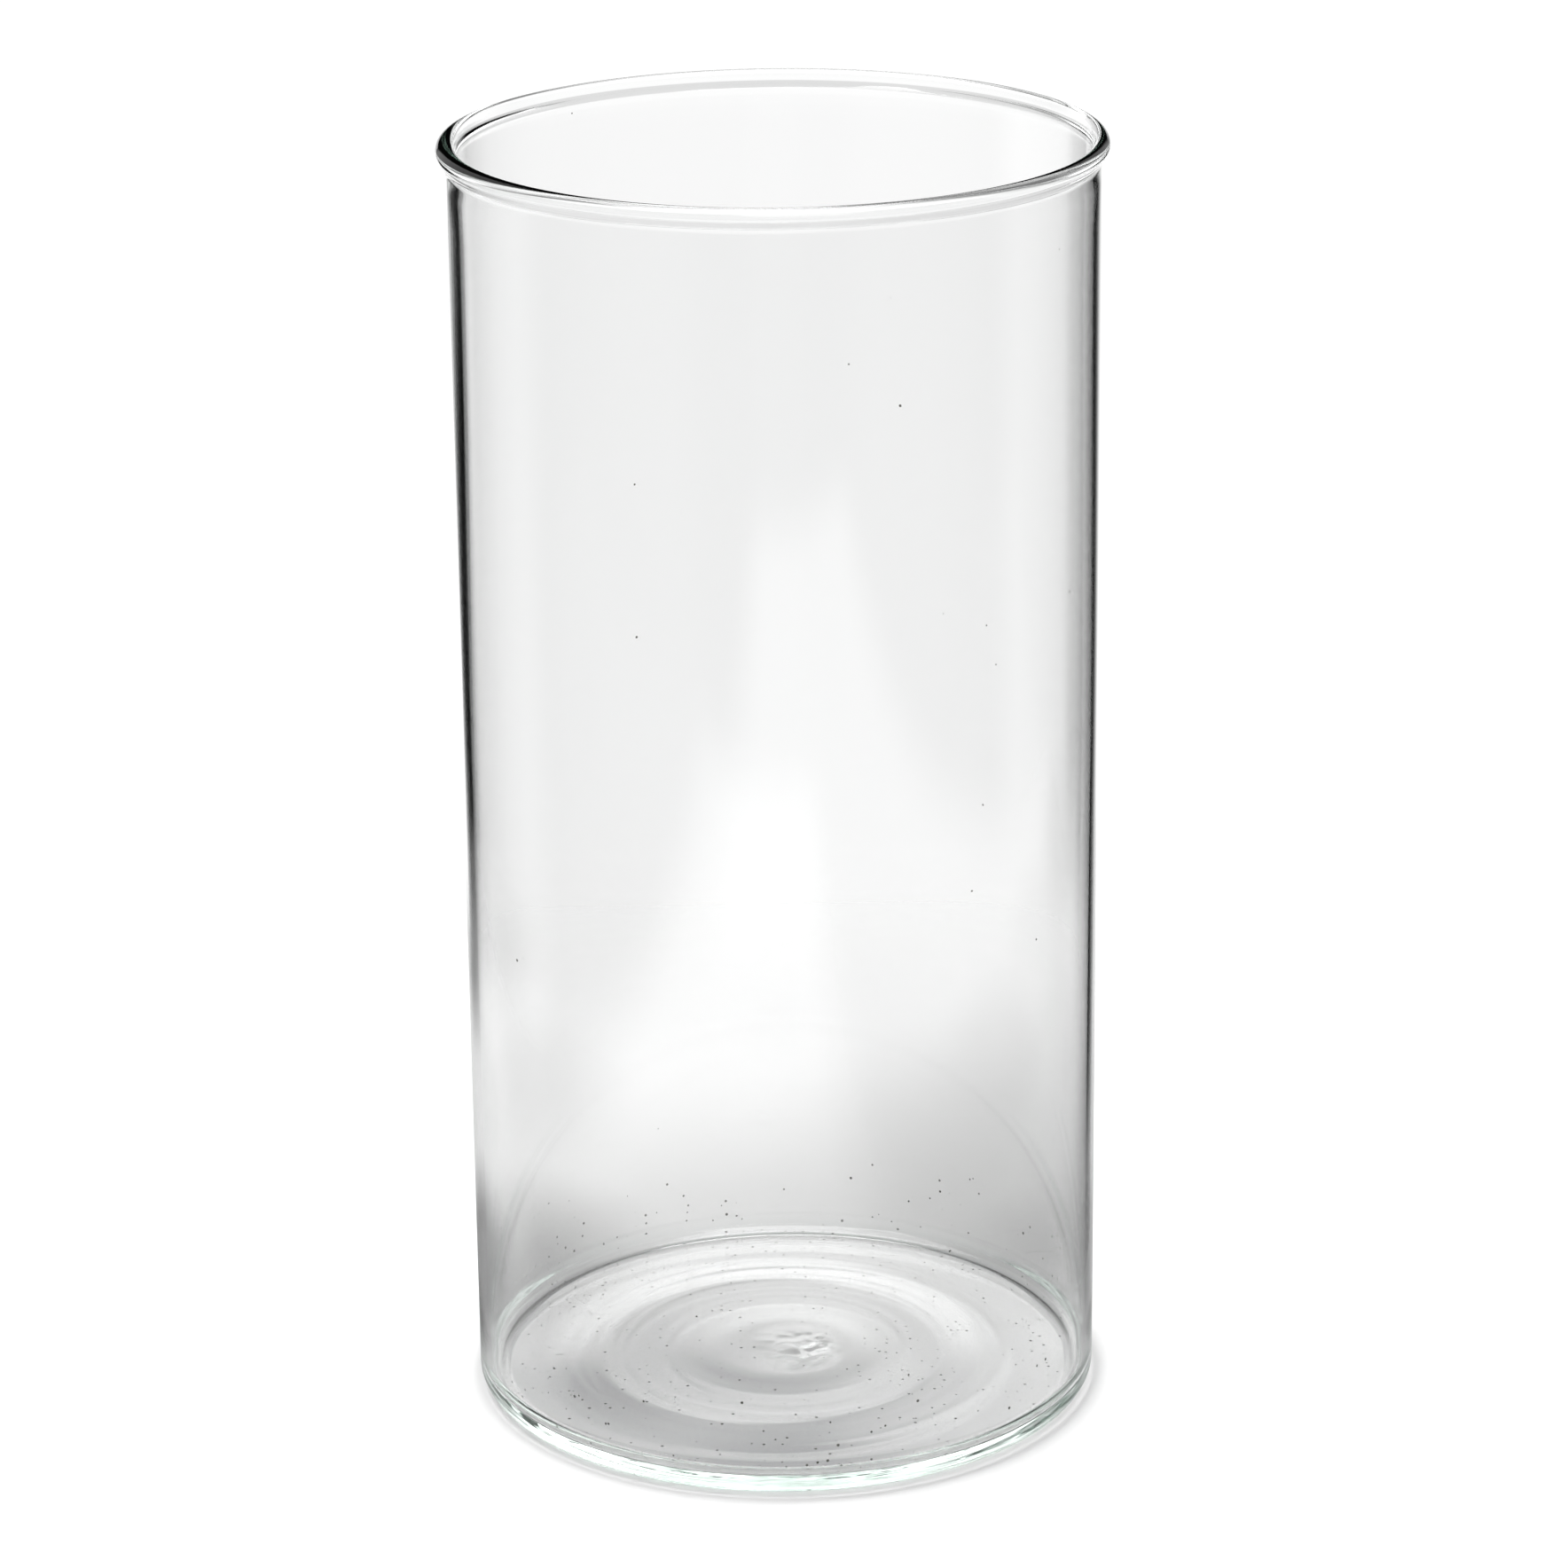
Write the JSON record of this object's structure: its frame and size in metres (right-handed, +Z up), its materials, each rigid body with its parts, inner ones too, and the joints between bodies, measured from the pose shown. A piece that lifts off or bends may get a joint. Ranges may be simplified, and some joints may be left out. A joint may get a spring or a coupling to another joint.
{
  "type": "glass cylinder vase",
  "caption": "Clear glass cylinder vase with a straight thin wall, a thickened fire-polished rim and a thin base with a hollowed underside.",
  "frame": {"origin": "centre of the foot ring, on the surface that the vase stands on", "axes": "+Z up along the vase's own axis, from the foot to the rim; X and Y are alike on this round shape"},
  "size_m": [0.1002, 0.1002, 0.2],
  "materials": {
    "glass": "clear soda-lime glass, fire-polished, with a faint grey-green at its edges"
  },
  "bodies": {
    "root": {"base": "glass", "wall": "glass", "rim": "glass"}
  },
  "joints": []
}
